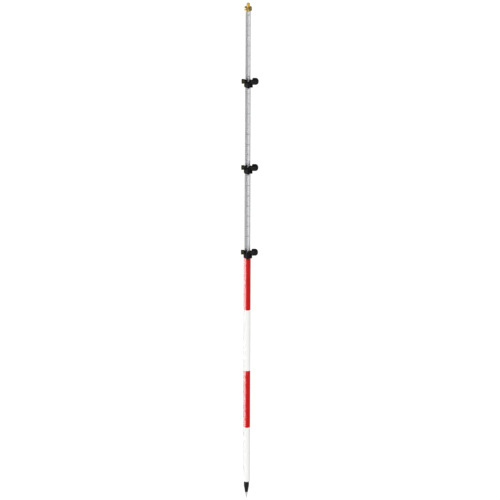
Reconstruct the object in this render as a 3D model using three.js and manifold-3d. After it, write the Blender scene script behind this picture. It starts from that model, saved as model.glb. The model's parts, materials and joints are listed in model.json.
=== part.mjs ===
// A telescoping prism pole, standing upright on its steel point and partly extended.
// Millimetres, +Z up the pole, origin at the tip of the point. +X is the side of the clamp knobs, and -Y is
// the front, where the clamps are split and the graduations are read.
import * as THREE from "three";
import { mergeVertices } from "three/addons/utils/BufferGeometryUtils.js";
import Module from "manifold-3d";

const wasm = await Module();
wasm.setup();

// ---- Driving dimensions ----

const TUBE_FACETS = 36;
const FITTING_FACETS = 24;
const SCREW_FACETS = 12;

// Room between neighbouring solids: round a fixed fit, round a sliding fit, and between two faces that touch.
const FIT_GAP = 0.15;
const SLIDE_GAP = 0.1;
const FACE_GAP = 0.3;
const PAST_THE_FACE = 5; // how far a cutter runs past the face that it cuts

// The foot: a steel point screwed into a tapered black holder, which screws onto a plug in the outer tube.
const POINT_LENGTH = 31;
const POINT_TIP_RADIUS = 0.8;
const POINT_TOP_RADIUS = 6.4;
const POINT_SHANK_RADIUS = 3.5;
const POINT_SHANK_LENGTH = 14;
const HOLDER_TOP_Z = 86;
const HOLDER_TOP_RADIUS = 12.6;
const HOLDER_SHOULDER_Z = 62; // where the holder begins to taper
const HOLDER_SHOULDER_RADIUS = 12;
const HOLDER_BOTTOM_RADIUS = 6.9;
const FOOT_PLUG_LENGTH = 55;
const FOOT_STUD_RADIUS = 6;
const FOOT_STUD_LENGTH = 26;
const FOOT_PIN_RADIUS = 2;
const FOOT_PIN_HEIGHT = 25; // above the lower end of the outer tube

// The outer tube is 1.25 inch tube.
const OUTER_RADIUS = 15.875;
const OUTER_WALL = 1.5;
const OUTER_BOTTOM_Z = HOLDER_TOP_Z + FACE_GAP;

// The three sliding sections are equally long. Each runs in the bore of the one below it.
const SECTION_LENGTH = 1118;
const SECTION_2_RADIUS = 13.6;
const SECTION_WALL = 0.8;
const SECTION_3_RADIUS = SECTION_2_RADIUS - SECTION_WALL - SLIDE_GAP;
const SECTION_4_RADIUS = SECTION_3_RADIUS - SECTION_WALL - SLIDE_GAP;
const GLIDE_HEIGHT = 10;
const GLIDE_PLUG_LENGTH = 14;

// Height of each clamp screw above the ground.
const LOWER_CLAMP_Z = 1236;
const MIDDLE_CLAMP_Z = 1655;
const UPPER_CLAMP_Z = 2079;

// The clamp, measured from its screw's height on the pole's axis.
const COLLAR_RADIUS = 20.5;
const COLLAR_SKIRT_RADIUS = 17.6;
const COLLAR_TOP = -3;
const COLLAR_BOTTOM = -33;
const SHOULDER = -15; // the tube below ends just under it, and the liner stands on it
const SKIRT_TOP = -17;
const CHAMFER = 1;
const LINER_BORE_RADIUS = 15.65;
const SLIT_X = -3;
const SLIT_WIDTH = 1.2;
const SLIT_BOTTOM = -16;
const SCREW_Y = -20;
const SCREW_RADIUS = 3.175;
const EAR_RADIUS = 9.5;
const LEFT_EAR_X = -15;
const RIGHT_EAR_X = 14;
const NOTCH_BOTTOM = 0;
const NOTCH_HALF_WIDTH = 13; // at the height NOTCH_BOTTOM + NOTCH_RISE
const NOTCH_RISE = 13;
const NOTCH_BACK_Y = -6;
const NOSE_X = 2.5; // the skirt is drawn out at the front into a nose that carries the ears
const NOSE_Y = -25.5;
const NOSE_RADIUS = 4;
const NOSE_TOP = -3;
const LOCK_BLOCK_RIGHT = 22.5;
const LOCK_BLOCK_FRONT_Y = -15;
const LOCK_BLOCK_BACK_Y = 7;
const LOCK_BLOCK_TOP = -17.5;
const LOCK_SCREW_Z = -24.5;
const LOCK_SCREW_RADIUS = 2.5;
const LOCK_SOCKET_RADIUS = 1.4;

// What is on the clamp screw, as distances from the pole's axis along X.
const NUT_RADIUS = 11.6;
const NUT_END_X = -29.5;
const NUT_HEX_RADIUS = 5.8;
const NUT_HEX_DEPTH = 4;
const NUT_THREAD_DEPTH = 10;
const RECESS_CLEARANCE = 0.6; // round the nut and the knob's neck, where they sink into the collar
const WASHER_RADIUS = 8.2;
const WASHER_THICKNESS = 1.6;
const KNOB_START_X = RIGHT_EAR_X + WASHER_THICKNESS + 2 * FACE_GAP;
const KNOB_NECK_RADIUS = 8.4;
const KNOB_NECK_LENGTH = 3.5;
const KNOB_RADIUS = 17;
const KNOB_END_X = 49.5;
const KNOB_DOME_LENGTH = 13;
const KNOB_DOME_STEPS = 5;
const KNOB_LOBES = 6;
const KNOB_LOBE_DEPTH = 1.7;
const KNOB_OUTLINE_POINTS = 48;
const SCREW_HEAD_RADIUS = 5;
const SCREW_HEAD_START_X = KNOB_START_X + 4;
const SCREW_HEAD_LENGTH = 12;
const SCREW_END_X = -21;

// The top: a plug fixed in the last section, a brass adapter screwed into it, and a 5/8-11 brass stud.
const ADAPTER_RADIUS = 17.25;
const ADAPTER_BOTTOM_Z = 2419.5;
const ADAPTER_HEIGHT = 16.5;
const ADAPTER_SHANK_RADIUS = 6;
const ADAPTER_SHANK_LENGTH = 22;
const STUD_RADIUS = 7.94;
const STUD_HEIGHT = 19;
const STUD_DEPTH = 11; // inside the adapter
const TOP_PLUG_LENGTH = 40;
const TOP_PIN_DEPTH = 32; // below the end of the tube
const TOP_PIN_RADIUS = 1.6;

// ---- Materials ----

const finish = (color, roughness, metalness) =>
  new THREE.MeshStandardMaterial({ color, roughness, metalness });

const PAINTED_TUBE = finish(0xc62a20, 0.25, 0.0);
const SATIN_ALUMINIUM = finish(0xc4c5c8, 0.38, 0.9);
const BLACK_ANODISED = finish(0x1c1d1f, 0.42, 0.4);
const BLACK_PLASTIC = finish(0x202123, 0.5, 0.0);
const NYLON = finish(0x2c2c2e, 0.55, 0.0);
const STEEL = finish(0xb9bbbe, 0.28, 1.0);
const DARK_STEEL = finish(0x3b3b30, 0.3, 0.9);
const BRASS = finish(0xc9a43c, 0.28, 1.0);

// ---- Solids ----

// A closed three.js geometry as a manifold-3d solid.
function solid(geometry) {
  const bare = geometry.index ? geometry.toNonIndexed() : geometry.clone();
  bare.deleteAttribute("normal");
  bare.deleteAttribute("uv");
  const merged = mergeVertices(bare, 1e-3);
  return new wasm.Manifold(
    new wasm.Mesh({
      numProp: 3,
      vertProperties: merged.attributes.position.array,
      triVerts: new Uint32Array(merged.index.array),
    }),
  );
}

// A manifold-3d solid as a flat-shaded three.js geometry.
function geometryOf(made) {
  const { vertProperties, triVerts, numProp } = made.getMesh();
  const positions = new Float32Array(triVerts.length * 3);
  triVerts.forEach((vertex, corner) => {
    positions.set(vertProperties.slice(vertex * numProp, vertex * numProp + 3), corner * 3);
  });
  const geometry = new THREE.BufferGeometry();
  geometry.setAttribute("position", new THREE.BufferAttribute(positions, 3));
  geometry.computeVertexNormals();
  return geometry;
}

function meshOf(name, made, material) {
  const mesh = new THREE.Mesh(geometryOf(made), material);
  mesh.name = name;
  return mesh;
}

// A solid turned about Z. The profile is a list of [radius, z] going up the outside.
function turned(profile, facets) {
  const points = profile.map(([radius, z]) => new THREE.Vector2(radius, z));
  return solid(new THREE.LatheGeometry(points, facets).rotateX(Math.PI / 2));
}

function rod(radius, bottom, top, facets) {
  return turned([[0, bottom], [radius, bottom], [radius, top], [0, top]], facets);
}

// A rod with both end edges chamfered.
function chamferedRod(radius, bottom, top, chamfer, facets) {
  const profile = [
    [0, bottom],
    [radius - chamfer, bottom],
    [radius, bottom + chamfer],
    [radius, top - chamfer],
    [radius - chamfer, top],
    [0, top],
  ];
  return turned(profile, facets);
}

function pipe(radius, boreRadius, bottom, top, facets) {
  const bore = rod(boreRadius, bottom - PAST_THE_FACE, top + PAST_THE_FACE, facets);
  return rod(radius, bottom, top, facets).subtract(bore);
}

function block(left, right, front, back, bottom, top) {
  const box = new THREE.BoxGeometry(right - left, back - front, top - bottom);
  box.translate((left + right) / 2, (front + back) / 2, (bottom + top) / 2);
  return solid(box);
}

// Lays a solid that stands along Z along X instead, at a given y and z.
function alongX(made, y, z) {
  return made.rotate([0, 90, 0]).translate([0, y, z]);
}

// An outline in the plane of Y and Z, pushed along X from left to right.
function extrudedAlongX(outline, left, right, curveSegments) {
  const settings = { depth: right - left, bevelEnabled: false, curveSegments };
  const geometry = new THREE.ExtrudeGeometry(outline, settings);
  geometry.rotateX(Math.PI / 2);
  geometry.rotateZ(Math.PI / 2);
  return solid(geometry.translate(left, 0, 0));
}

// ---- Foot ----

function groundPoint() {
  const profile = [
    [0, 0],
    [POINT_TIP_RADIUS, 0],
    [POINT_TOP_RADIUS, POINT_LENGTH],
    [POINT_SHANK_RADIUS, POINT_LENGTH],
    [POINT_SHANK_RADIUS, POINT_LENGTH + POINT_SHANK_LENGTH],
    [0, POINT_LENGTH + POINT_SHANK_LENGTH],
  ];
  return meshOf("ground_point", turned(profile, FITTING_FACETS), STEEL);
}

function pointHolder() {
  const bottom = POINT_LENGTH + FACE_GAP;
  const profile = [
    [0, bottom],
    [HOLDER_BOTTOM_RADIUS - CHAMFER / 2, bottom],
    [HOLDER_BOTTOM_RADIUS, bottom + CHAMFER],
    [HOLDER_SHOULDER_RADIUS, HOLDER_SHOULDER_Z],
    [HOLDER_TOP_RADIUS, HOLDER_TOP_Z - 2 * CHAMFER],
    [HOLDER_TOP_RADIUS, HOLDER_TOP_Z],
    [0, HOLDER_TOP_Z],
  ];
  const shankBore = rod(
    POINT_SHANK_RADIUS + FIT_GAP,
    bottom - PAST_THE_FACE,
    POINT_LENGTH + POINT_SHANK_LENGTH + FACE_GAP,
    FITTING_FACETS,
  );
  const studBore = rod(
    FOOT_STUD_RADIUS + FIT_GAP,
    OUTER_BOTTOM_Z - FOOT_STUD_LENGTH - FACE_GAP,
    HOLDER_TOP_Z + PAST_THE_FACE,
    FITTING_FACETS,
  );
  const holder = turned(profile, FITTING_FACETS).subtract(shankBore).subtract(studBore);
  return meshOf("point_holder", holder, BLACK_ANODISED);
}

// A hole across the pole, along Y, for a pin.
function crossHole(radius, z) {
  const length = 4 * OUTER_RADIUS;
  return rod(radius, -length / 2, length / 2, SCREW_FACETS).rotate([90, 0, 0]).translate([0, 0, z]);
}

function crossPin(name, radius, z, reach, material) {
  const pin = chamferedRod(radius, -reach, reach, CHAMFER / 2, SCREW_FACETS);
  return meshOf(name, pin.rotate([90, 0, 0]).translate([0, 0, z]), material);
}

function footPlug() {
  const radius = OUTER_RADIUS - OUTER_WALL - FIT_GAP;
  const profile = [
    [0, OUTER_BOTTOM_Z - FOOT_STUD_LENGTH],
    [FOOT_STUD_RADIUS, OUTER_BOTTOM_Z - FOOT_STUD_LENGTH],
    [FOOT_STUD_RADIUS, OUTER_BOTTOM_Z],
    [radius, OUTER_BOTTOM_Z],
    [radius, OUTER_BOTTOM_Z + FOOT_PLUG_LENGTH - CHAMFER],
    [radius - CHAMFER, OUTER_BOTTOM_Z + FOOT_PLUG_LENGTH],
    [0, OUTER_BOTTOM_Z + FOOT_PLUG_LENGTH],
  ];
  const hole = crossHole(FOOT_PIN_RADIUS + FIT_GAP, OUTER_BOTTOM_Z + FOOT_PIN_HEIGHT);
  return meshOf("foot_plug", turned(profile, TUBE_FACETS).subtract(hole), SATIN_ALUMINIUM);
}

function outerTube() {
  const top = LOWER_CLAMP_Z + SHOULDER - FACE_GAP;
  const tube = pipe(OUTER_RADIUS, OUTER_RADIUS - OUTER_WALL, OUTER_BOTTOM_Z, top, TUBE_FACETS);
  const hole = crossHole(FOOT_PIN_RADIUS + FIT_GAP, OUTER_BOTTOM_Z + FOOT_PIN_HEIGHT);
  return meshOf("outer_tube", tube.subtract(hole), PAINTED_TUBE);
}

// ---- Sliding sections ----

// The tube of a section, which ends under the clamp or adapter that it carries.
function sectionTube(name, radius, top, pinHole) {
  const tube = pipe(radius, radius - SECTION_WALL, top - SECTION_LENGTH, top, TUBE_FACETS);
  return meshOf(name, pinHole ? tube.subtract(pinHole) : tube, SATIN_ALUMINIUM);
}

// The glide under a section: a plug in its lower end, with a head that runs in the bore of the tube below.
function glide(name, sectionRadius, boreRadius, sectionBottom) {
  const headRadius = boreRadius - SLIDE_GAP;
  const headTop = sectionBottom - FACE_GAP;
  const plugRadius = sectionRadius - SECTION_WALL - FIT_GAP;
  const profile = [
    [0, headTop - GLIDE_HEIGHT],
    [headRadius - CHAMFER, headTop - GLIDE_HEIGHT],
    [headRadius, headTop - GLIDE_HEIGHT + CHAMFER],
    [headRadius, headTop],
    [plugRadius, headTop],
    [plugRadius, headTop + GLIDE_PLUG_LENGTH],
    [0, headTop + GLIDE_PLUG_LENGTH],
  ];
  return meshOf(name, turned(profile, TUBE_FACETS), NYLON);
}

// ---- Clamps ----

// What opens a clamp at the front: the slit, and the notch above it that shows the tube.
function slitAndNotch() {
  const front = SCREW_Y - 2 * EAR_RADIUS;
  const slit = block(
    SLIT_X - SLIT_WIDTH / 2,
    SLIT_X + SLIT_WIDTH / 2,
    front,
    NOTCH_BACK_Y,
    SLIT_BOTTOM,
    EAR_RADIUS + PAST_THE_FACE,
  );
  const outline = new THREE.Shape();
  outline.moveTo(0, NOTCH_BOTTOM);
  outline.lineTo(NOTCH_HALF_WIDTH, NOTCH_BOTTOM + NOTCH_RISE);
  outline.lineTo(-NOTCH_HALF_WIDTH, NOTCH_BOTTOM + NOTCH_RISE);
  outline.closePath();
  const wedge = new THREE.ExtrudeGeometry(outline, { depth: NOTCH_BACK_Y - front, bevelEnabled: false });
  wedge.rotateX(Math.PI / 2).translate(0, NOTCH_BACK_Y, 0);
  return slit.add(solid(wedge));
}

// The two ears before they are parted: a round nose about the screw, running back into the collar.
function ears() {
  const outline = new THREE.Shape();
  outline.moveTo(-EAR_RADIUS, -EAR_RADIUS);
  outline.lineTo(SCREW_Y, -EAR_RADIUS);
  outline.absarc(SCREW_Y, 0, EAR_RADIUS, -Math.PI / 2, -Math.PI * 1.5, true);
  outline.lineTo(-EAR_RADIUS, COLLAR_TOP);
  outline.closePath();
  return extrudedAlongX(outline, LEFT_EAR_X, RIGHT_EAR_X, 8);
}

// The skirt under the ears, seen from above: two arcs, joined by the lines that touch them both.
function nosedSkirt() {
  const heading = Math.atan2(NOSE_Y, NOSE_X);
  const spread = Math.acos((COLLAR_SKIRT_RADIUS - NOSE_RADIUS) / Math.hypot(NOSE_X, NOSE_Y));
  const outline = new THREE.Shape();
  outline.absarc(NOSE_X, NOSE_Y, NOSE_RADIUS, heading - spread, heading + spread, false);
  outline.absarc(0, 0, COLLAR_SKIRT_RADIUS, heading + spread, heading - spread, false);
  outline.closePath();
  const settings = { depth: NOSE_TOP - COLLAR_BOTTOM, bevelEnabled: false, curveSegments: 10 };
  return solid(new THREE.ExtrudeGeometry(outline, settings).translate(0, 0, COLLAR_BOTTOM));
}

function collar(name, tubeRadius) {
  const profile = [
    [0, COLLAR_BOTTOM],
    [COLLAR_SKIRT_RADIUS, COLLAR_BOTTOM],
    [COLLAR_SKIRT_RADIUS, SKIRT_TOP],
    [COLLAR_RADIUS, SKIRT_TOP + 2 * CHAMFER],
    [COLLAR_RADIUS, COLLAR_TOP - CHAMFER],
    [COLLAR_RADIUS - CHAMFER, COLLAR_TOP],
    [0, COLLAR_TOP],
  ];
  const lockBlock = block(
    0,
    LOCK_BLOCK_RIGHT,
    LOCK_BLOCK_FRONT_Y,
    LOCK_BLOCK_BACK_Y,
    COLLAR_BOTTOM,
    LOCK_BLOCK_TOP,
  );
  const tubeBore = rod(tubeRadius + FIT_GAP, COLLAR_BOTTOM - PAST_THE_FACE, SHOULDER, TUBE_FACETS);
  const linerBore = rod(LINER_BORE_RADIUS, SHOULDER, EAR_RADIUS + PAST_THE_FACE, TUBE_FACETS);
  const screwHole = alongX(
    rod(SCREW_RADIUS + FACE_GAP, LEFT_EAR_X - PAST_THE_FACE, RIGHT_EAR_X + PAST_THE_FACE, SCREW_FACETS),
    SCREW_Y,
    0,
  );
  const hexPocket = alongX(
    rod(NUT_HEX_RADIUS + FACE_GAP, LEFT_EAR_X - PAST_THE_FACE, LEFT_EAR_X + NUT_HEX_DEPTH, 6),
    SCREW_Y,
    0,
  );
  const nutRecess = alongX(
    rod(NUT_RADIUS + RECESS_CLEARANCE, NUT_END_X, LEFT_EAR_X, FITTING_FACETS),
    SCREW_Y,
    0,
  );
  const neckRecess = alongX(
    rod(KNOB_NECK_RADIUS + RECESS_CLEARANCE, RIGHT_EAR_X, KNOB_END_X, FITTING_FACETS),
    SCREW_Y,
    0,
  );
  const lockHole = alongX(
    rod(LOCK_SCREW_RADIUS + FIT_GAP, tubeRadius, LOCK_BLOCK_RIGHT + PAST_THE_FACE, SCREW_FACETS),
    0,
    LOCK_SCREW_Z,
  );
  const casting = turned(profile, TUBE_FACETS).add(ears()).add(lockBlock).add(nosedSkirt());
  const bored = casting.subtract(tubeBore).subtract(linerBore).subtract(screwHole);
  const recessed = bored.subtract(nutRecess).subtract(neckRecess).subtract(hexPocket).subtract(lockHole);
  return meshOf(name, recessed.subtract(slitAndNotch()), BLACK_ANODISED);
}

// The split nylon sleeve that the collar squeezes onto the sliding tube.
function liner(name, tubeRadius) {
  const radius = LINER_BORE_RADIUS - FIT_GAP;
  const sleeve = pipe(radius, tubeRadius + FIT_GAP, SHOULDER + FACE_GAP, COLLAR_TOP + CHAMFER, TUBE_FACETS);
  return meshOf(name, sleeve.subtract(slitAndNotch()), NYLON);
}

// The socket screw that locks the collar on the tube below it.
function lockScrew(name, tubeRadius) {
  const inner = tubeRadius + FIT_GAP;
  const outer = LOCK_BLOCK_RIGHT - CHAMFER;
  const body = chamferedRod(LOCK_SCREW_RADIUS, inner, outer, CHAMFER / 2, SCREW_FACETS);
  const socket = rod(LOCK_SOCKET_RADIUS, outer - LOCK_SCREW_RADIUS, outer + PAST_THE_FACE, 6);
  return meshOf(name, alongX(body.subtract(socket), 0, LOCK_SCREW_Z), STEEL);
}

// The round nut at the left. Its hexagonal spigot sits in the left ear, so it can't turn.
function capNut(name) {
  const faceX = LEFT_EAR_X - FACE_GAP;
  const head = chamferedRod(NUT_RADIUS, NUT_END_X, faceX, 1.5 * CHAMFER, FITTING_FACETS);
  const spigot = rod(NUT_HEX_RADIUS, faceX - CHAMFER, LEFT_EAR_X + NUT_HEX_DEPTH - FACE_GAP, 6);
  const thread = rod(SCREW_RADIUS + FIT_GAP, faceX - NUT_THREAD_DEPTH, PAST_THE_FACE, SCREW_FACETS);
  return meshOf(name, alongX(head.add(spigot).subtract(thread), SCREW_Y, 0), DARK_STEEL);
}

function thrustWasher(name) {
  const inner = RIGHT_EAR_X + FACE_GAP;
  const washer = pipe(
    WASHER_RADIUS,
    SCREW_RADIUS + FACE_GAP,
    inner,
    inner + WASHER_THICKNESS,
    FITTING_FACETS,
  );
  return meshOf(name, alongX(washer, SCREW_Y, 0), DARK_STEEL);
}

// The screw turns with the knob, which is moulded round its head.
function clampScrew(name) {
  const headEnd = SCREW_HEAD_START_X + SCREW_HEAD_LENGTH;
  const profile = [
    [0, SCREW_END_X],
    [SCREW_RADIUS - CHAMFER, SCREW_END_X],
    [SCREW_RADIUS, SCREW_END_X + CHAMFER],
    [SCREW_RADIUS, SCREW_HEAD_START_X],
    [SCREW_HEAD_RADIUS, SCREW_HEAD_START_X],
    [SCREW_HEAD_RADIUS, headEnd],
    [0, headEnd],
  ];
  return meshOf(name, alongX(turned(profile, SCREW_FACETS), SCREW_Y, 0), STEEL);
}

// The grip of the knob before it is rounded: a prism with a wavy outline.
function lobedPrism() {
  const middleRadius = KNOB_RADIUS - KNOB_LOBE_DEPTH / 2;
  const points = Array.from({ length: KNOB_OUTLINE_POINTS }, (_, i) => {
    const angle = (2 * Math.PI * i) / KNOB_OUTLINE_POINTS;
    const radius = middleRadius + (KNOB_LOBE_DEPTH / 2) * Math.cos(KNOB_LOBES * angle);
    return new THREE.Vector2(radius * Math.cos(angle), radius * Math.sin(angle));
  });
  const length = KNOB_END_X - KNOB_START_X;
  const settings = { depth: length, bevelEnabled: false };
  const prism = new THREE.ExtrudeGeometry(new THREE.Shape(points), settings);
  return solid(prism.translate(0, 0, KNOB_START_X));
}

function knob(name) {
  const gripStart = KNOB_START_X + KNOB_NECK_LENGTH;
  const dome = Array.from({ length: KNOB_DOME_STEPS + 1 }, (_, i) => {
    const angle = (Math.PI / 2) * (i / KNOB_DOME_STEPS);
    return [KNOB_RADIUS * Math.cos(angle), KNOB_END_X - KNOB_DOME_LENGTH * (1 - Math.sin(angle))];
  });
  const envelope = [
    [0, KNOB_START_X],
    [KNOB_NECK_RADIUS - CHAMFER / 2, KNOB_START_X],
    [KNOB_NECK_RADIUS, KNOB_START_X + CHAMFER / 2],
    [KNOB_NECK_RADIUS, gripStart],
    [KNOB_RADIUS - 3 * CHAMFER, gripStart + CHAMFER],
    [KNOB_RADIUS, gripStart + 5 * CHAMFER],
    ...dome,
  ];
  const stemBore = rod(
    SCREW_RADIUS + FIT_GAP,
    KNOB_START_X - PAST_THE_FACE,
    SCREW_HEAD_START_X,
    SCREW_FACETS,
  );
  const headBore = rod(
    SCREW_HEAD_RADIUS + FIT_GAP,
    SCREW_HEAD_START_X - FIT_GAP,
    SCREW_HEAD_START_X + SCREW_HEAD_LENGTH + FIT_GAP,
    SCREW_FACETS,
  );
  const body = turned(envelope, FITTING_FACETS).intersect(lobedPrism());
  return meshOf(name, alongX(body.subtract(stemBore).subtract(headBore), SCREW_Y, 0), BLACK_PLASTIC);
}

// A whole clamp on the end of one tube, gripping the next tube up.
function clamp(prefix, z, tubeRadius, slidingRadius) {
  const group = new THREE.Group();
  group.position.z = z;
  group.add(
    collar(prefix + "_collar", tubeRadius),
    liner(prefix + "_liner", slidingRadius),
    lockScrew(prefix + "_lock_screw", tubeRadius),
    capNut(prefix + "_cap_nut"),
    thrustWasher(prefix + "_thrust_washer"),
    clampScrew(prefix + "_clamp_screw"),
    knob(prefix + "_knob"),
  );
  return group;
}

// ---- Top ----

const SECTION_4_TOP_Z = ADAPTER_BOTTOM_Z - FACE_GAP;

function topPlug() {
  const radius = SECTION_4_RADIUS - SECTION_WALL - FIT_GAP;
  const plug = rod(radius, SECTION_4_TOP_Z - TOP_PLUG_LENGTH, SECTION_4_TOP_Z, TUBE_FACETS);
  const thread = rod(
    ADAPTER_SHANK_RADIUS + FIT_GAP,
    ADAPTER_BOTTOM_Z - ADAPTER_SHANK_LENGTH - FACE_GAP,
    SECTION_4_TOP_Z + PAST_THE_FACE,
    FITTING_FACETS,
  );
  const hole = crossHole(TOP_PIN_RADIUS + FIT_GAP, SECTION_4_TOP_Z - TOP_PIN_DEPTH);
  return meshOf("top_plug", plug.subtract(thread).subtract(hole), SATIN_ALUMINIUM);
}

function prismAdapter() {
  const top = ADAPTER_BOTTOM_Z + ADAPTER_HEIGHT;
  const profile = [
    [0, ADAPTER_BOTTOM_Z - ADAPTER_SHANK_LENGTH],
    [ADAPTER_SHANK_RADIUS, ADAPTER_BOTTOM_Z - ADAPTER_SHANK_LENGTH],
    [ADAPTER_SHANK_RADIUS, ADAPTER_BOTTOM_Z],
    [ADAPTER_RADIUS - 1.5 * CHAMFER, ADAPTER_BOTTOM_Z],
    [ADAPTER_RADIUS, ADAPTER_BOTTOM_Z + 1.5 * CHAMFER],
    [ADAPTER_RADIUS, top - 1.5 * CHAMFER],
    [ADAPTER_RADIUS - 1.5 * CHAMFER, top],
    [0, top],
  ];
  const socket = rod(STUD_RADIUS + FIT_GAP, top - STUD_DEPTH - FACE_GAP, top + PAST_THE_FACE, TUBE_FACETS);
  return meshOf("prism_adapter", turned(profile, TUBE_FACETS).subtract(socket), BRASS);
}

function prismStud() {
  const seat = ADAPTER_BOTTOM_Z + ADAPTER_HEIGHT;
  const stud = chamferedRod(STUD_RADIUS, seat - STUD_DEPTH, seat + STUD_HEIGHT, CHAMFER, TUBE_FACETS);
  return meshOf("prism_stud", stud, BRASS);
}

// ---- The pole ----

const SECTION_2_TOP_Z = MIDDLE_CLAMP_Z + SHOULDER - FACE_GAP;
const SECTION_3_TOP_Z = UPPER_CLAMP_Z + SHOULDER - FACE_GAP;
const TOP_PIN_Z = SECTION_4_TOP_Z - TOP_PIN_DEPTH;

const pole = new THREE.Group();
pole.add(
  groundPoint(),
  pointHolder(),
  footPlug(),
  outerTube(),
  crossPin("foot_pin", FOOT_PIN_RADIUS, OUTER_BOTTOM_Z + FOOT_PIN_HEIGHT, OUTER_RADIUS - FIT_GAP, STEEL),
  clamp("lower", LOWER_CLAMP_Z, OUTER_RADIUS, SECTION_2_RADIUS),
  glide(
    "section_2_glide",
    SECTION_2_RADIUS,
    OUTER_RADIUS - OUTER_WALL,
    SECTION_2_TOP_Z - SECTION_LENGTH,
  ),
  sectionTube("section_2_tube", SECTION_2_RADIUS, SECTION_2_TOP_Z),
  clamp("middle", MIDDLE_CLAMP_Z, SECTION_2_RADIUS, SECTION_3_RADIUS),
  glide(
    "section_3_glide",
    SECTION_3_RADIUS,
    SECTION_2_RADIUS - SECTION_WALL,
    SECTION_3_TOP_Z - SECTION_LENGTH,
  ),
  sectionTube("section_3_tube", SECTION_3_RADIUS, SECTION_3_TOP_Z),
  clamp("upper", UPPER_CLAMP_Z, SECTION_3_RADIUS, SECTION_4_RADIUS),
  glide(
    "section_4_glide",
    SECTION_4_RADIUS,
    SECTION_3_RADIUS - SECTION_WALL,
    SECTION_4_TOP_Z - SECTION_LENGTH,
  ),
  sectionTube(
    "section_4_tube",
    SECTION_4_RADIUS,
    SECTION_4_TOP_Z,
    crossHole(TOP_PIN_RADIUS + FIT_GAP, TOP_PIN_Z),
  ),
  topPlug(),
  crossPin("top_pin", TOP_PIN_RADIUS, TOP_PIN_Z, SECTION_4_RADIUS - FIT_GAP, STEEL),
  prismAdapter(),
  prismStud(),
);

export default pole;
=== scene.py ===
"""The looks of a telescoping prism pole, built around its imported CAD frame.

Metres, +Z up the pole, origin at the tip of its point. +X is the side of the clamp knobs, and -Y is the
front, where the clamps are split and the graduations are read.
"""

import json
import math

import bmesh
import bpy
from mathutils import Matrix, Quaternion, Vector

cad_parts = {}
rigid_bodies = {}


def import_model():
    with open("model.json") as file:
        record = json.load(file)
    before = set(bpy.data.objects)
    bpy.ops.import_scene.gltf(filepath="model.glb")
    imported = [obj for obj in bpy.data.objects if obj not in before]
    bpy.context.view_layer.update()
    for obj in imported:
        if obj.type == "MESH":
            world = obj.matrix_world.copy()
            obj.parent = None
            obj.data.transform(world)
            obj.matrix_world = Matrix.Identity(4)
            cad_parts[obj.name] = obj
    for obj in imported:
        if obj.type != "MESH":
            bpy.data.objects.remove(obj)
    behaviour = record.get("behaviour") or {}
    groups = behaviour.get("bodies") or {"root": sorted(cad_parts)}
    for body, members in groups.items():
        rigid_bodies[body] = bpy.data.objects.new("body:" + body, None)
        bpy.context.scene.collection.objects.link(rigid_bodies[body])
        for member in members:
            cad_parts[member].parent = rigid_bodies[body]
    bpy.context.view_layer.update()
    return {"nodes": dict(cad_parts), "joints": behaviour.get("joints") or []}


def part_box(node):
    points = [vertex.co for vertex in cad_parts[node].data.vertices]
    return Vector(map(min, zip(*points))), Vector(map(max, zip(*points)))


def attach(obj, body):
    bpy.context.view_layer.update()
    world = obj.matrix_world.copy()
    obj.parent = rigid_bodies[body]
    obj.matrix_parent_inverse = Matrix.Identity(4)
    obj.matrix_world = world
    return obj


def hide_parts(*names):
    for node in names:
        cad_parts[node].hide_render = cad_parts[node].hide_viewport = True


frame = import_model()

MM = 0.001
INCH = 25.4 * MM
TURN = 2 * math.pi

# ---- Driving values ----

TUBE_SEGMENTS = 96
SMALL_SEGMENTS = 64
SHARP_ANGLE = math.radians(32)
PROFILE_STEPS = 4  # points in each rounded corner of a turned profile
ON_AXIS = 1e-7  # a point of a profile nearer to the axis than this lies on it

SECTIONS = (2, 3, 4)
CLAMPS = {"lower": "outer", "middle": "section_2", "upper": "section_3"}  # and the body that each sits on
WALLS = {"outer_tube": 1.5 * MM, **{f"section_{n}_tube": 0.8 * MM for n in SECTIONS}}
EDGE = 0.3 * MM  # the usual rounding of a tube's or washer's edge

# The painted bands of the outer tube: the heights where one colour changes to the other. The foot is white.
BAND_EDGES = (0.358, 0.642, 0.944)

# The graduations: a mark for each centimetre, and a number at every fifth.
MARK_SPACING = 10 * MM
NUMBERED_EVERY = 5
MARK_WIDTH = 2.2 * MM
SHORT_MARK = 5 * MM
LONG_MARK = 6.2 * MM
MARK_START = -8.5 * MM  # round the tube from its front, to the left
NUMBER_START = -1.8 * MM
NUMBER_HEIGHT = 5.2 * MM
TEXT_SIZE = 1.4 * NUMBER_HEIGHT  # the font's size, of which its digits are about 0.7 high
INK_OUTSIDE = 0.07 * MM
INK_INSIDE = 0.12 * MM
STRIP_WIDTH = 0.8 * MM  # a number is cut into strips this narrow, so that it bends round its tube
FIRST_MARK = 15 * MM  # below the top of a tube
LAST_MARK = 1020 * MM
PRISM_HEIGHT = 30 * MM  # of a prism's centre above the adapter, which is what the graduations read

THREAD_FLAT = 0.1  # of the pitch: how wide a thread's flat crest is, and its flat root
STUD_PITCH = INCH / 11
STUD_THREAD_DEPTH = 1.35 * MM
SCREW_PITCH = INCH / 20
SCREW_THREAD_DEPTH = 0.72 * MM

BODY_VOXEL = 0.4 * MM
BODY_SMOOTHING = 7
LINER_VOXEL = 0.35 * MM
LINER_SMOOTHING = 3
CAST_FACES_KEPT = 0.3

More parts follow.
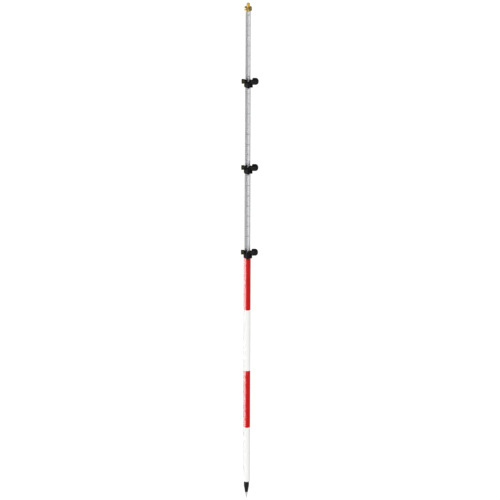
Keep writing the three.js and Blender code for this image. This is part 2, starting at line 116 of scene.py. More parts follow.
SCREW_RADIUS = 3.175 * MM
SCREW_BORE = 3.35 * MM
SCREW_SEGMENTS = 48
HEAD_INSET = 4 * MM  # of the clamp screw's head into the back of its knob
KNOB_SEGMENTS = 144
KNOB_LOBES = 6
KNOB_FLUTE_DEPTH = 2.2 * MM
KNOB_FLUTE_POWER = 1.2  # above 1, the flutes are narrower than the lobes
KNURLS = 84
KNURL_DEPTH = 0.42 * MM
KNURL_ANGLE = math.radians(30)
KNURL_ROWS = 0.3 * MM
KNURL_RUN_OUT = 0.6 * MM


# ---- Meshes ----

def finish_mesh(name, bm, body, node, material, placing=None):
    """Turns a bmesh into a smooth-shaded piece that rides on a body and stands for a CAD node."""
    bmesh.ops.recalc_face_normals(bm, faces=bm.faces)
    mesh = bpy.data.meshes.new(name)
    bm.to_mesh(mesh)
    bm.free()
    if placing:
        mesh.transform(placing)
    return finish_piece(name, mesh, body, node, material)


def finish_piece(name, mesh, body, node, material):
    """The same, from a mesh that is already in its place."""
    mesh.shade_smooth()
    mesh.set_sharp_from_angle(angle=SHARP_ANGLE)
    mesh.materials.append(material)
    piece = bpy.data.objects.new(name, mesh)
    bpy.context.scene.collection.objects.link(piece)
    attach(piece, body)
    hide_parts(node)
    return piece


def rounded(corners):
    """A profile with rounded corners. A corner is (radius, height), and a third number is its fillet."""
    points = []
    for i, corner in enumerate(corners):
        here = Vector(corner[:2])
        if len(corner) < 3:
            points.append(tuple(here))
            continue
        back = Vector(corners[i - 1][:2]) - here
        on = Vector(corners[(i + 1) % len(corners)][:2]) - here
        reach = corner[2] / math.tan(back.angle(on) / 2)
        reach = min(reach, 0.49 * back.length, 0.49 * on.length)
        start = here + reach * back.normalized()
        end = here + reach * on.normalized()
        for step in range(PROFILE_STEPS + 1):
            t = step / PROFILE_STEPS
            points.append(tuple((1 - t) ** 2 * start + 2 * t * (1 - t) * here + t**2 * end))
    return points


def with_rows(profile, low, high, spacing):
    """The profile with extra points between two heights, on the stretch that spans them."""
    points = []
    for (r0, h0), (r1, h1) in zip(profile, profile[1:]):
        points.append((r0, h0))
        if h0 <= low and h1 >= high:
            rows = max(2, round((high - low) / spacing))
            for row in range(rows + 1):
                h = low + (high - low) * row / rows
                if h0 < h < h1:
                    points.append((r0 + (r1 - r0) * (h - h0) / (h1 - h0), h))
    return [*points, profile[-1]]


def lathe(profile, segments, shape=None, loop=False):
    """A bmesh turned about Z from (radius, height) points going up the outside.

    shape(radius, angle, height) gives a radius that changes on the way round. With loop, the profile closes
    on itself and makes a pipe.
    """
    bm = bmesh.new()
    rings = []
    for radius, height in profile:
        if radius < ON_AXIS:
            rings.append([bm.verts.new((0, 0, height))])
            continue
        ring = []
        for k in range(segments):
            angle = TURN * k / segments
            reach = shape(radius, angle, height) if shape else radius
            ring.append(bm.verts.new((reach * math.cos(angle), reach * math.sin(angle), height)))
        rings.append(ring)
    pairs = list(zip(rings, rings[1:]))
    if loop:
        pairs.append((rings[-1], rings[0]))
    for low, high in pairs:
        for k in range(segments):
            n = (k + 1) % segments
            around = [low[k % len(low)], low[n % len(low)], high[n % len(high)], high[k % len(high)]]
            bm.faces.new(list(dict.fromkeys(around)))
    return bm


def thread(pitch, depth, low, high):
    """A lathe shape: a V thread between two heights, running out at both."""
    def shape(radius, angle, height):
        fade = min(1.0, (height - low) / pitch, (high - height) / pitch)
        if fade <= 0:
            return radius
        phase = (height / pitch - angle / TURN) % 1.0
        flank = (abs(2 * phase - 1) - THREAD_FLAT) / (1 - 2 * THREAD_FLAT)
        return radius - depth * fade * min(1.0, max(0.0, flank))
    return shape


def hexagon(flat_radius, low, high):
    """A lathe shape: what is no wider than flat_radius, between two heights, becomes a hexagon."""
    def shape(radius, angle, height):
        if radius > 1.01 * flat_radius or not low <= height <= high:
            return radius
        return radius * math.cos(TURN / 12) / math.cos(angle % (TURN / 6) - TURN / 12)
    return shape


def lying_along_x(y, z):
    """Places a piece made along Z so that it lies along X instead."""
    return Matrix.Translation((0, y, z)) @ Matrix.Rotation(TURN / 4, 4, "Y")


def cast(name, node, body, material, voxel, smoothing):
    """A finely remeshed and softened copy of a CAD node, as if moulded."""
    source = frame["nodes"][node]
    work = bpy.data.objects.new(name + "_work", source.data.copy())
    bpy.context.scene.collection.objects.link(work)
    remesh = work.modifiers.new("remesh", "REMESH")
    remesh.mode = "VOXEL"
    remesh.voxel_size = voxel
    smooth = work.modifiers.new("smooth", "SMOOTH")
    smooth.factor = 0.5
    smooth.iterations = smoothing
    thin = work.modifiers.new("thin", "DECIMATE")
    thin.ratio = CAST_FACES_KEPT
    evaluated = work.evaluated_get(bpy.context.evaluated_depsgraph_get())
    mesh = bpy.data.meshes.new_from_object(evaluated)
    mesh.name = name
    mesh.materials.clear()
    bpy.data.objects.remove(work)
    return finish_piece(name, mesh, body, node, material)


# ---- Materials ----

# Noise scales on X, Y and Z that draw turning marks: fine along the lathe's axis, and long round it.
RINGS_ALONG_X = (4200, 20, 20)
RINGS_ALONG_Z = (20, 20, 4200)


class Look:
    """A material with one Principled shader, and short calls for the nodes that drive it."""

    def __init__(self, name, color, roughness, metallic=0.0, **sockets):
        self.material = bpy.data.materials.new(name)
        self.material.use_nodes = True
        self.tree = self.material.node_tree
        self.shader = self.tree.nodes["Principled BSDF"]
        self.shader.inputs["Base Color"].default_value = (*color, 1)
        self.shader.inputs["Roughness"].default_value = roughness
        self.shader.inputs["Metallic"].default_value = metallic
        for socket, value in sockets.items():
            self.shader.inputs[socket.replace("_", " ").title().replace("Ior", "IOR")].default_value = value
        self.place = self.tree.nodes.new("ShaderNodeTexCoord").outputs["Object"]

    def link(self, source, target):
        self.tree.links.new(source, target)

    def stretched(self, x, y, z):
        """Object coordinates, scaled along each axis."""
        mapping = self.tree.nodes.new("ShaderNodeMapping")
        mapping.inputs["Scale"].default_value = (x, y, z)
        self.link(self.place, mapping.inputs["Vector"])
        return mapping.outputs["Vector"]

    def noise(self, scale, detail=3.0, vector=None):
        node = self.tree.nodes.new("ShaderNodeTexNoise")
        node.inputs["Scale"].default_value = scale
        node.inputs["Detail"].default_value = detail
        self.link(vector or self.place, node.inputs["Vector"])
        return node.outputs["Fac"]

    def math(self, operation, *values):
        node = self.tree.nodes.new("ShaderNodeMath")
        node.operation = operation
        for socket, value in zip(node.inputs, values):
            if isinstance(value, (int, float)):
                socket.default_value = value
            else:
                self.link(value, socket)
        return node.outputs[0]

    def spread(self, value, low, high, new_low, new_high):
        """Maps a value from one range to another, kept inside it."""
        node = self.tree.nodes.new("ShaderNodeMapRange")
        for socket, number in zip(node.inputs[1:5], (low, high, new_low, new_high)):
            socket.default_value = number
        self.link(value, node.inputs[0])
        return node.outputs[0]

    def mixed(self, share, first, second):
        """A colour between two, each a colour or an output."""
        node = self.tree.nodes.new("ShaderNodeMix")
        node.data_type = "RGBA"
        self.link(share, node.inputs["Factor"])
        for socket, value in ((node.inputs[6], first), (node.inputs[7], second)):
            if isinstance(value, tuple):
                socket.default_value = (*value, 1)
            else:
                self.link(value, socket)
        return node.outputs[2]

    def color(self, output):
        self.link(output, self.shader.inputs["Base Color"])

    def roughness(self, output):
        self.link(output, self.shader.inputs["Roughness"])

    def bump(self, height, strength, distance):
        node = self.tree.nodes.new("ShaderNodeBump")
        node.inputs["Strength"].default_value = strength
        node.inputs["Distance"].default_value = distance
        self.link(height, node.inputs["Height"])
        self.link(node.outputs["Normal"], self.shader.inputs["Normal"])

    def worn_edges(self, low, high):
        """How much each spot is a rubbed edge, from 0 to 1."""
        pointiness = self.tree.nodes.new("ShaderNodeNewGeometry").outputs["Pointiness"]
        rubbed = self.math("MULTIPLY", self.spread(pointiness, low, high, 0, 1), self.noise(700, 4))
        return self.spread(rubbed, 0.25, 0.55, 0, 1)


def enamel(name, color, clouded, specular):
    """Stove enamel, with a slight cloud, soft scuffs along the tube and a fine orange peel."""
    look = Look(name, color, 0.36, specular_ior_level=specular)
    cloud = look.spread(look.noise(9, 3), 0.3, 0.7, 0, 1)
    scuffs = look.spread(look.noise(60, 5, look.stretched(6, 6, 0.5)), 0.66, 0.74, 0, 0.25)
    look.color(look.mixed(scuffs, look.mixed(cloud, color, clouded), (0.45, 0.40, 0.38)))
    look.roughness(look.spread(look.noise(120, 4), 0.3, 0.7, 0.33, 0.40))
    look.bump(look.noise(1400, 2), 0.05, 0.05 * MM)
    return look.material


def satin_aluminium():
    """Drawn and clear-anodised tube: fine streaks along it, and a few long rub marks."""
    look = Look("satin_aluminium", (0.43, 0.43, 0.445), 0.44, 1.0)
    streaks = look.noise(1.0, 4, look.stretched(2600, 2600, 6))
    rubs = look.spread(look.noise(1.0, 5, look.stretched(420, 420, 9)), 0.60, 0.72, 0, 1)
    drawn = look.mixed(streaks, (0.40, 0.40, 0.415), (0.46, 0.46, 0.47))
    look.color(look.mixed(rubs, drawn, (0.53, 0.53, 0.53)))
    look.roughness(look.spread(streaks, 0.3, 0.7, 0.40, 0.50))
    look.bump(streaks, 0.10, 0.02 * MM)
    return look.material


def black_casting():
    """Black anodised casting, with a fine skin and slightly rubbed edges."""
    look = Look("black_casting", (0.002, 0.002, 0.0023), 0.42, 0.0, specular_ior_level=0.07)
    skin = look.noise(1500, 4)
    tone = look.mixed(skin, (0.0012, 0.0012, 0.0014), (0.0032, 0.0032, 0.0036))
    look.color(look.mixed(look.worn_edges(0.53, 0.60), tone, (0.014, 0.014, 0.014)))
    look.roughness(look.spread(skin, 0.3, 0.7, 0.36, 0.50))
    look.bump(skin, 0.25, 0.08 * MM)
    return look.material


def black_moulding():
    """Moulded black plastic with a fine spark-eroded grain."""
    look = Look("black_moulding", (0.004, 0.004, 0.0044), 0.46, 0.0, specular_ior_level=0.12)
    grain = look.noise(2600, 3)
    cloud = look.noise(60, 3)
    look.color(look.mixed(cloud, (0.0028, 0.0028, 0.003), (0.0065, 0.0065, 0.007)))
    look.roughness(look.spread(cloud, 0.3, 0.7, 0.42, 0.54))
    look.bump(grain, 0.3, 0.06 * MM)
    return look.material


def black_anodised():
    """Turned and black anodised: fine rings, and a slight cloud in its tone."""
    look = Look("black_anodised", (0.006, 0.006, 0.007), 0.34, 0.0, specular_ior_level=0.12)
    rings = look.noise(1.0, 3, look.stretched(20, 20, 5200))
    look.color(look.mixed(look.noise(200, 4), (0.0045, 0.0045, 0.005), (0.010, 0.010, 0.012)))
    look.roughness(look.spread(rings, 0.3, 0.7, 0.28, 0.42))
    look.bump(rings, 0.18, 0.03 * MM)
    return look.material


def nylon(name):
    look = Look(name, (0.016, 0.016, 0.017), 0.55, 0.0, specular_ior_level=0.3)
    cloud = look.noise(300, 3)
    look.color(look.mixed(cloud, (0.012, 0.012, 0.013), (0.022, 0.022, 0.023)))
    look.roughness(look.spread(cloud, 0.3, 0.7, 0.50, 0.62))
    look.bump(look.noise(1800, 2), 0.2, 0.05 * MM)
    return look.material


def turned_metal(name, dark, light, roughness, marks=RINGS_ALONG_Z):
    """Bare metal from a lathe: rings across the axis, a slight cloud of tarnish."""
    look = Look(name, light, roughness, 1.0)
    rings = look.noise(1.0, 3, look.stretched(*marks))
    cloud = look.spread(look.noise(90, 4), 0.3, 0.7, 0, 1)
    look.color(look.mixed(cloud, dark, light))
    look.roughness(look.spread(rings, 0.3, 0.7, roughness - 0.06, roughness + 0.08))
    look.bump(rings, 0.15, 0.03 * MM)
    return look.material


def printed_ink():
    look = Look("printed_ink", (0.012, 0.012, 0.014), 0.6, 0.0, specular_ior_level=0.3)
    worn = look.spread(look.noise(900, 4), 0.55, 0.75, 0, 1)
    look.color(look.mixed(worn, (0.010, 0.010, 0.012), (0.06, 0.06, 0.065)))
    return look.material


WHITE_PAINT = enamel("white_enamel", (0.77, 0.77, 0.76), (0.76, 0.76, 0.745), 0.01)
RED_PAINT = enamel("red_enamel", (0.50, 0.0035, 0.003), (0.44, 0.003, 0.0025), 0.1)
ALUMINIUM = satin_aluminium()
CASTING = black_casting()
MOULDING = black_moulding()
ANODISED = black_anodised()
NYLON = nylon("nylon")
INK = printed_ink()
POINT_STEEL = turned_metal("point_steel", (0.46, 0.46, 0.48), (0.62, 0.62, 0.64), 0.28)
ZINC = turned_metal("zinc_steel", (0.50, 0.51, 0.53), (0.62, 0.63, 0.65), 0.30, RINGS_ALONG_X)
DARK_STEEL = turned_metal("dark_steel", (0.020, 0.019, 0.010), (0.034, 0.032, 0.016), 0.34, RINGS_ALONG_X)
BRASS = turned_metal("brass", (0.23, 0.17, 0.055), (0.30, 0.22, 0.072), 0.26)
BRIGHT_BRASS = turned_metal("bright_brass", (0.74, 0.54, 0.11), (0.84, 0.62, 0.13), 0.24)
BARE_ALUMINIUM = turned_metal("bare_aluminium", (0.58, 0.58, 0.60), (0.68, 0.68, 0.70), 0.34)


# ---- Tubes ----

def tube_bmesh(node, rings=()):
    """A tube with lightly rounded ends, from its CAD node's box, and its outer radius.

    rings are heights at which it gets an extra ring of edges.
    """
    low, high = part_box(node)
    outer = (high.x - low.x) / 2
    inner = outer - WALLS[node]
    corners = [
        (outer, low.z, EDGE),
        *((outer, height) for height in rings),
        (outer, high.z, EDGE),
        (inner, high.z, EDGE),
        (inner, low.z, EDGE),
    ]
    return lathe(rounded(corners), TUBE_SEGMENTS, loop=True), outer


def outer_tube():
    bm, _ = tube_bmesh("outer_tube", BAND_EDGES)
    for face in bm.faces:
        height = face.calc_center_median().z
        face.material_index = sum(height > edge for edge in BAND_EDGES) % 2
    piece = finish_mesh("painted_tube", bm, "outer", "outer_tube", WHITE_PAINT)
    piece.data.materials.append(RED_PAINT)


def wrapped(bm, points, faces, radius):
    """Adds a flat patch to a bmesh, bent round the tube, as a thin solid.

    Its points are (x, z): x goes round the tube from its front, and z goes up it.
    """
    layers = []
    for reach in (radius - INK_INSIDE, radius + INK_OUTSIDE):
        layer = []
        for x, z in points:
            angle = x / radius
            layer.append(bm.verts.new((reach * math.sin(angle), -reach * math.cos(angle), z)))
        layers.append(layer)
    edges = {}
    for face in faces:
        bm.faces.new([layers[0][i] for i in face])
        bm.faces.new([layers[1][i] for i in reversed(face)])
        for a, b in zip(face, [*face[1:], face[0]]):
            edges[(a, b)] = (b, a) not in edges
            if (b, a) in edges:
                edges[(b, a)] = False
    for (a, b), rim in edges.items():
        if rim:
            bm.faces.new([layers[0][a], layers[1][a], layers[1][b], layers[0][b]])


def mark_patch(width, z):
    columns = 6  # so that it bends round its tube
    points = []
    for k in range(columns + 1):
        x = MARK_START + width * k / columns
        points += [(x, z - MARK_WIDTH / 2), (x, z + MARK_WIDTH / 2)]
    faces = [(2 * k, 2 * k + 2, 2 * k + 3, 2 * k + 1) for k in range(columns)]
    return points, faces


def number_patch(text, z):
    """The outline of a number as a flat patch, centred on a height."""
    curve = bpy.data.curves.new("number", "FONT")
    curve.body = text
    curve.size = TEXT_SIZE
    curve.resolution_u = 2
    carrier = bpy.data.objects.new("number", curve)
    mesh = bpy.data.meshes.new_from_object(carrier)
    flat = bmesh.new()
    flat.from_mesh(mesh)
    strips = math.ceil(max(v.co.x for v in flat.verts) / STRIP_WIDTH)
    for k in range(1, strips):
        everything = [*flat.verts, *flat.edges, *flat.faces]
        bmesh.ops.bisect_plane(flat, geom=everything, plane_co=(k * STRIP_WIDTH, 0, 0), plane_no=(1, 0, 0))
    flat.verts.index_update()
    points = [(NUMBER_START + v.co.x, z + v.co.y - NUMBER_HEIGHT / 2) for v in flat.verts]
    faces = [tuple(v.index for v in face.verts) for face in flat.faces]
    flat.free()
    bpy.data.objects.remove(carrier)
    bpy.data.curves.remove(curve)
    bpy.data.meshes.remove(mesh)
    return points, faces


def readings():
    """For each section, the prism's height when the top of that tube is level with the clamp below.

    The pole is drawn out from the top section down, so a lower section counts on from the full reach of the
    one above.
    """
    slides = {j["name"]: j["range_m"] for j in frame["joints"] if j["name"].endswith("_slide")}
    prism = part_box("prism_adapter")[1].z + PRISM_HEIGHT
    collapsed = prism + sum(low for low, _ in slides.values())
    found = {}
    for n, clamp_below in reversed(list(zip(SECTIONS, CLAMPS))):
        low, high = slides[f"section_{n}_slide"]
        clamp_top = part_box(clamp_below + "_liner")[1].z
        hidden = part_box(f"section_{n}_tube")[1].z + low - clamp_top
        found[n] = collapsed - hidden
        collapsed += high - low
    return found


def graduated_tube(n, top_reading):
    """A sliding tube with its printed marks and numbers, which grow down the tube from its top's reading."""
    node = f"section_{n}_tube"
    bm, radius = tube_bmesh(node)
    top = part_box(node)[1].z
    plain = set(bm.faces)
    first = math.ceil((top_reading + FIRST_MARK) / MARK_SPACING)
    last = math.floor((top_reading + LAST_MARK) / MARK_SPACING)
    for count in range(first, last + 1):
        z = top - (count * MARK_SPACING - top_reading)
        numbered = count % NUMBERED_EVERY == 0
        wrapped(bm, *mark_patch(LONG_MARK if numbered else SHORT_MARK, z), radius)
        if numbered:
            wrapped(bm, *number_patch(str(count), z), radius)
    for face in bm.faces:
        if face not in plain:
            face.material_index = 1
    piece = finish_mesh(f"graduated_tube_{n}", bm, f"section_{n}", node, ALUMINIUM)
    piece.data.materials.append(INK)


# ---- Foot ----

def ground_point():
    low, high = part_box("ground_point")
    radius = (high.x - low.x) / 2
    cone_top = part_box("point_holder")[0].z - 0.3 * MM
    land = 3 * MM
    shank = 3.5 * MM
    corners = [
        (0, low.z),
        (0.8 * MM, low.z, 0.5 * MM),
        (radius - 0.35 * MM, cone_top - land, 0.2 * MM),
        (radius - 0.75 * MM, cone_top - land + 0.4 * MM, 0.2 * MM),
        (radius - 0.75 * MM, cone_top - land + 0.9 * MM, 0.2 * MM),
        (radius, cone_top - land + 1.3 * MM, 0.2 * MM),
        (radius, cone_top, 0.3 * MM),
        (shank, cone_top),
        (shank, high.z),
        (0, high.z),
    ]
    bm = lathe(rounded(corners), SMALL_SEGMENTS)
    finish_mesh("steel_point", bm, "outer", "ground_point", POINT_STEEL)


def point_holder():
    low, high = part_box("point_holder")
    top = (high.x - low.x) / 2
    bottom = 6.9 * MM
    shank_bore = 3.65 * MM
    stud_bore = 6.15 * MM
    stud_floor = high.z - 25 * MM
    groove = 0.5 * MM
    ring_bottom = high.z - 5 * MM
    corners = [
        (shank_bore, low.z),
        (bottom - groove, low.z, 0.4 * MM),
        (bottom, low.z + 1.2 * MM, 0.6 * MM),
        (top - 0.8 * MM, high.z - 24 * MM, 9 * MM),
        (top - groove, ring_bottom - 0.6 * MM, 0.3 * MM),
        (top, ring_bottom, 0.3 * MM),
        (top, high.z - 3.2 * MM, 0.2 * MM),
        (top - groove, high.z - 2.8 * MM, 0.2 * MM),
        (top - groove, high.z - 2.2 * MM, 0.2 * MM),
        (top, high.z - 1.8 * MM, 0.2 * MM),
        (top, high.z, 0.5 * MM),
        (stud_bore, high.z),
        (stud_bore, stud_floor),
        (shank_bore, stud_floor),
    ]
    bm = lathe(rounded(corners), SMALL_SEGMENTS, loop=True)
    finish_mesh("black_point_holder", bm, "outer", "point_holder", ANODISED)


# ---- Clamps ----

def knob(prefix, y, z):
    low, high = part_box(prefix + "_knob")
    radius = (high.z - low.z) / 2
    neck = 8.4 * MM
    neck_length = 3.5 * MM
    dome = 13 * MM
    grip = low.x + neck_length
    back = [
        (SCREW_BORE, low.x + HEAD_INSET),
        (SCREW_BORE, low.x),
        (neck, low.x, 0.6 * MM),
        (neck, grip + 0.2 * MM, 0.5 * MM),
        (radius - 2.6 * MM, grip + 0.5 * MM, 1.5 * MM),
        (radius, grip + 5 * MM, 2.5 * MM),
    ]
    start = high.x - dome
    steps = 14
    front = []
    for k in range(steps + 1):
        angle = TURN / 4 * k / steps
        front.append((radius * math.cos(angle), start + dome * math.sin(angle)))
    ring_out, ring_in, sunk = 7.2 * MM, 6.4 * MM, 0.45 * MM  # a groove round the middle of the dome
    ends = [p for p in front if p[0] > ring_out + 0.3 * MM]

    def dome_height(r):
        return start + dome * math.sqrt(max(0.0, 1 - (r / radius) ** 2))

    cap = [
        (ring_out, dome_height(ring_out)),
        (ring_out - 0.15 * MM, dome_height(ring_out) - sunk),
        (ring_in + 0.15 * MM, dome_height(ring_in) - sunk),
        (ring_in, dome_height(ring_in)),
    ]
    inner = [(r * MM, dome_height(r * MM)) for r in (5.4, 4.2, 2.8, 1.4)] + [(0, high.x)]
    profile = [(0, low.x + HEAD_INSET)] + rounded(back + [(radius, start)])
    body_rows = 6
    body_start = profile[-1][1]
    profile += [(radius, body_start + (start - body_start) * k / body_rows) for k in range(1, body_rows)]
    profile += ends + cap + inner

    def flutes(r, angle, height):
        if r <= ring_out or height < grip + 0.3 * MM:
            return r
        share = min(1.0, (r - ring_out) / (radius - ring_out))
        fade = min(1.0, (height - grip) / (3 * MM))
        wave = (0.5 - 0.5 * math.cos(KNOB_LOBES * angle)) ** KNOB_FLUTE_POWER
        return r - KNOB_FLUTE_DEPTH * share * fade * wave

    bm = lathe(profile, KNOB_SEGMENTS, flutes)
    body = node = prefix + "_knob"
    finish_mesh(prefix + "_clamp_knob", bm, body, node, MOULDING, lying_along_x(y, z))


def cap_nut(prefix, body, y, z):
    low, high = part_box(prefix + "_cap_nut")
    radius = (high.z - low.z) / 2
    spigot = 4 * MM
    face = high.x - spigot
    hex_radius = 5.8 * MM
    hole_floor = face - 9 * MM
    rim = 3.4 * MM
    groove = 0.6 * MM
    corners = [
        (0, low.x + 0.7 * MM),
        (4.6 * MM, low.x + 0.7 * MM, 0.4 * MM),
        (5.4 * MM, low.x, 0.5 * MM),
        (radius - 2.4 * MM, low.x, 1.4 * MM),
        (radius, low.x + 2.2 * MM, 1.6 * MM),
        (radius, low.x + rim + 1.6 * MM, 0.3 * MM),
        (radius - groove, low.x + rim + 2.1 * MM, 0.3 * MM),
        (radius - groove, face - rim - 0.5 * MM, 0.3 * MM),
        (radius, face - rim, 0.3 * MM),
        (radius, face, 0.6 * MM),
        (hex_radius, face),
        (hex_radius, high.x),
        (SCREW_BORE, high.x),
        (SCREW_BORE, hole_floor),
        (0, hole_floor),
    ]
    bm = lathe(rounded(corners), SMALL_SEGMENTS, hexagon(hex_radius, face + 0.1 * MM, high.x))
    node = prefix + "_cap_nut"
    finish_mesh(prefix + "_round_nut", bm, body, node, DARK_STEEL, lying_along_x(y, z))


def thrust_washer(prefix, y, z):
    low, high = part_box(prefix + "_thrust_washer")
    radius = (high.z - low.z) / 2
    bore = 3.5 * MM
    corners = [(radius, low.x, EDGE), (radius, high.x, EDGE), (bore, high.x, EDGE), (bore, low.x, EDGE)]
    bm = lathe(rounded(corners), SMALL_SEGMENTS, loop=True)
    washer, node = prefix + "_washer", prefix + "_thrust_washer"
    finish_mesh(washer, bm, washer, node, DARK_STEEL, lying_along_x(y, z))


def clamp_screw(prefix, y, z):
    low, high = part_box(prefix + "_clamp_screw")
    knob_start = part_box(prefix + "_knob")[0].x
    head = 5 * MM
    head_start = knob_start + HEAD_INSET
    corners = [
        (0, low.x),
        (SCREW_RADIUS - 0.7 * MM, low.x),
        (SCREW_RADIUS, low.x + 0.7 * MM),
        (SCREW_RADIUS, head_start),
        (head, head_start),
        (head, high.x),
        (0, high.x),
    ]
    profile = with_rows(corners, low.x + 0.8 * MM, knob_start, SCREW_PITCH / 8)
    turns = thread(SCREW_PITCH, SCREW_THREAD_DEPTH, low.x + 0.4 * MM, knob_start)
    bm = lathe(profile, SCREW_SEGMENTS, turns)
    body, node = prefix + "_knob", prefix + "_clamp_screw"
    finish_mesh(prefix + "_threaded_screw", bm, body, node, ZINC, lying_along_x(y, z))


def lock_screw(prefix, body):
    low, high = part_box(prefix + "_lock_screw")
    radius = (high.z - low.z) / 2
    socket = 1.45 * MM
    depth = 2.6 * MM
    corners = [
        (0, low.x),
        (radius - 0.4 * MM, low.x),
        (radius, low.x + 0.4 * MM),
        (radius, high.x, 0.35 * MM),
        (socket, high.x),
        (socket, high.x - depth),
        (0, high.x - depth - 0.6 * MM),
    ]
    bm = lathe(rounded(corners), SCREW_SEGMENTS, hexagon(socket, high.x - 2 * depth, high.x))
    z = (low.z + high.z) / 2
    node = prefix + "_lock_screw"
    finish_mesh(prefix + "_socket_screw", bm, body, node, ZINC, lying_along_x(0, z))


def clamp(prefix, body):
    low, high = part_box(prefix + "_clamp_screw")
    y, z = (low.y + high.y) / 2, (low.z + high.z) / 2
    collar, liner = prefix + "_collar", prefix + "_liner"
    cast(prefix + "_clamp_body", collar, body, CASTING, BODY_VOXEL, BODY_SMOOTHING)
    cast(prefix + "_clamp_liner", liner, body, NYLON, LINER_VOXEL, LINER_SMOOTHING)
    knob(prefix, y, z)
    cap_nut(prefix, body, y, z)
    thrust_washer(prefix, y, z)
    clamp_screw(prefix, y, z)
    lock_screw(prefix, body)


# ---- Top ----

def prism_adapter():
    low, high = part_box("prism_adapter")
    radius = (high.x - low.x) / 2
    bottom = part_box("section_4_tube")[1].z + 0.3 * MM
    shank = 6 * MM
    socket = 8.1 * MM
    socket_floor = high.z - 11.3 * MM
    knurl_low, knurl_high = bottom + 3 * MM, high.z - 3 * MM
    corners = [
        (0, low.z),
        (shank, low.z, 0.5 * MM),
        (shank, bottom),
        (radius - 1.2 * MM, bottom, 0.5 * MM),
        (radius - 0.3 * MM, bottom + 1.2 * MM, 0.4 * MM),
        (radius - 0.3 * MM, bottom + 2.2 * MM, 0.2 * MM),
        (radius, bottom + 2.6 * MM),
        (radius, high.z - 2.6 * MM),
        (radius - 0.3 * MM, high.z - 2.2 * MM, 0.2 * MM),
        (radius - 0.3 * MM, high.z - 1.2 * MM, 0.4 * MM),
        (radius - 1.2 * MM, high.z, 0.5 * MM),
        (socket, high.z),
        (socket, socket_floor),
        (0, socket_floor),
    ]
    profile = with_rows(rounded(corners), knurl_low, knurl_high, KNURL_ROWS)
    lean = math.tan(KNURL_ANGLE) / radius

    def knurl(r, angle, height):
        if r < radius - 0.05 * MM:
            return r
        fade = min(1.0, (height - knurl_low) / KNURL_RUN_OUT, (knurl_high - height) / KNURL_RUN_OUT)
        if fade <= 0:
            return r
        left = 0.5 + 0.5 * math.cos(KNURLS * (angle + lean * height))
        right = 0.5 + 0.5 * math.cos(KNURLS * (angle - lean * height))
        return r - KNURL_DEPTH * fade * max(left, right) ** 2

    bm = lathe(profile, 6 * KNURLS, knurl)
    finish_mesh("knurled_adapter", bm, "section_4", "prism_adapter", BRASS)


def prism_stud():
    low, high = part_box("prism_stud")
    radius = (high.x - low.x) / 2
    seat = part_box("prism_adapter")[1].z
    corners = [
        (0, low.z),
        (radius, low.z),
        (radius, seat + 0.5 * MM),
        (radius, high.z - 1.3 * MM),
        (radius - 1.2 * MM, high.z, 0.2 * MM),
        (0, high.z),
    ]
    profile = with_rows(rounded(corners), seat + 0.6 * MM, high.z - 1.4 * MM, STUD_PITCH / 10)
    turns = thread(STUD_PITCH, STUD_THREAD_DEPTH, seat + 0.6 * MM, high.z + STUD_PITCH / 2)
    bm = lathe(profile, TUBE_SEGMENTS, turns)
    finish_mesh("threaded_stud", bm, "section_4", "prism_stud", BRIGHT_BRASS)


# ---- The pole ----

outer_tube()
ground_point()
point_holder()
for prefix, body in CLAMPS.items():
    clamp(prefix, body)
for n, top_reading in readings().items():
    graduated_tube(n, top_reading)
prism_adapter()
prism_stud()

# Nothing finer stands for the CAD nodes inside the tubes, so they only get their materials.
HIDDEN_NODES = {
    "foot_plug": BARE_ALUMINIUM,
    "foot_pin": ZINC,
    "section_2_glide": NYLON,
    "section_3_glide": NYLON,
    "section_4_glide": NYLON,
    "top_plug": BARE_ALUMINIUM,
    "top_pin": ZINC,
}
for node, material in HIDDEN_NODES.items():
    mesh = frame["nodes"][node].data
    mesh.materials.clear()
    mesh.materials.append(material)


# ---- Floor, light and camera ----

CAMERA_DISTANCE = 60.0
CAMERA_ELEVATION = math.radians(22)
CAMERA_ROLL = math.radians(0.22)
VIEW_HEIGHT = 2.3
AIM = Vector((0.0124, 0, 1.2388))
FLOOR_SIZE = 600.0
HORIZON_GLOW = 1.0
OVERHEAD_GLOW = 0.3
GLOW_FADE = (0.1, 0.5)  # the height of a direction (its sine) where the glow starts and ends its fade
KEY_ANGLE = math.radians(30)
SHEEN_ANGLE = math.radians(40)
PAINT_SHEEN_ANGLE = math.radians(70)


def floor():
    bpy.ops.mesh.primitive_plane_add(size=FLOOR_SIZE)
    plane = bpy.context.object
    plane.name = "floor"
    look = Look("floor", (0.93, 0.93, 0.93), 0.9, specular_ior_level=0.0)
    look.color(look.mixed(look.noise(3, 3), (0.92, 0.92, 0.92), (0.94, 0.94, 0.94)))
    plane.data.materials.append(look.material)
    return plane


def world():
    """A pale studio: as bright as the floor at the horizon, and dimmer overhead."""
    sky = bpy.data.worlds.new("studio")
    sky.use_nodes = True
    tree = sky.node_tree
    direction = tree.nodes.new("ShaderNodeTexCoord").outputs["Generated"]
    parts = tree.nodes.new("ShaderNodeSeparateXYZ")
    fade = tree.nodes.new("ShaderNodeMapRange")
    for socket, number in zip(fade.inputs[1:5], (*GLOW_FADE, HORIZON_GLOW, OVERHEAD_GLOW)):
        socket.default_value = number
    tree.links.new(direction, parts.inputs[0])
    tree.links.new(parts.outputs["Z"], fade.inputs[0])
    tree.links.new(fade.outputs[0], tree.nodes["Background"].inputs["Strength"])
    tree.nodes["Background"].inputs["Color"].default_value = (1, 1, 1, 1)
    bpy.context.scene.world = sky


def group(name, pieces):
    chosen = bpy.data.collections.new(name)
    for piece in pieces:
        chosen.objects.link(piece)
    return chosen


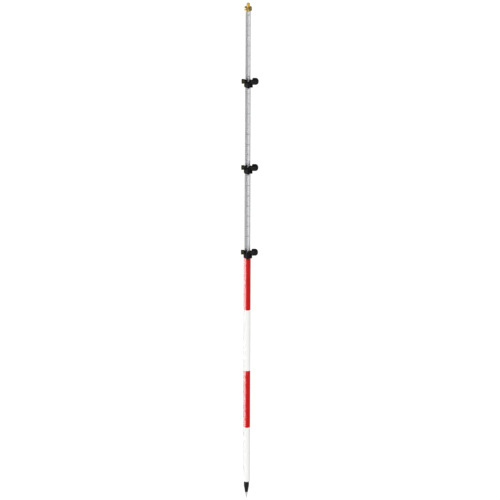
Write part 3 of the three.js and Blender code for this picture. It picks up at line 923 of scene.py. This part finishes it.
def sun(name, power, azimuth, elevation, angle, lit):
    """A distant light on some pieces, which only they shade.

    Its azimuth is in degrees to the right of the front, and its elevation in degrees above the floor.
    """
    data = bpy.data.lights.new(name, "SUN")
    data.energy = power
    data.angle = angle
    made = bpy.data.objects.new(name, data)
    made.rotation_mode = "XYZ"
    made.rotation_euler = (math.radians(90 - elevation), 0, math.radians(azimuth))
    bpy.context.scene.collection.objects.link(made)
    made.light_linking.receiver_collection = group(name + "_lights", lit)
    made.light_linking.blocker_collection = group(name + "_blockers", lit)
    return made


def sheen(name, power, azimuth, elevation, lit, angle=SHEEN_ANGLE):
    """A soft distant light that shows only as a reflection in glossy pieces."""
    sun(name, power, azimuth, elevation, angle, lit).visible_diffuse = False


def pieces_of(*materials):
    """The pieces whose first material is one of these, or all pieces if none is given."""
    found = []
    for piece in bpy.context.scene.collection.all_objects:
        if piece.type != "MESH" or piece.name == "floor" or not piece.data.materials:
            continue
        if not materials or piece.data.materials[0] in materials:
            found.append(piece)
    return found


def light():
    """A key light, and a soft highlight for each kind of material, because they shine unlike each other."""
    sun("floor_light", 2.4, 0, 90, KEY_ANGLE, [floor()])
    sun("key", 1.6, -14, 35, KEY_ANGLE, pieces_of())
    sheen("paint_sheen", 48, -80, -14, pieces_of(WHITE_PAINT), PAINT_SHEEN_ANGLE)
    sheen("black_sheen", 2.5, -80, 0, pieces_of(CASTING, MOULDING, ANODISED))
    sheen("flange_sheen", 5.0, -80, -10, pieces_of(BRASS))
    sheen("stud_sheen", 0.8, -80, -10, pieces_of(BRIGHT_BRASS))
    sheen("aluminium_sheen", 0.65, 45, -14, pieces_of(ALUMINIUM))


def camera():
    data = bpy.data.cameras.new("camera")
    data.sensor_width = 36
    data.lens = data.sensor_width * CAMERA_DISTANCE / VIEW_HEIGHT
    data.clip_end = 4 * CAMERA_DISTANCE
    eye = bpy.data.objects.new("camera", data)
    back = Vector((0, -math.cos(CAMERA_ELEVATION), math.sin(CAMERA_ELEVATION)))
    eye.location = AIM + CAMERA_DISTANCE * back
    eye.rotation_mode = "QUATERNION"
    eye.rotation_quaternion = (-back).to_track_quat("-Z", "Y") @ Quaternion((0, 0, 1), CAMERA_ROLL)
    bpy.context.scene.collection.objects.link(eye)
    bpy.context.scene.camera = eye


world()
light()
camera()
bpy.context.scene.view_settings.view_transform = "Standard"
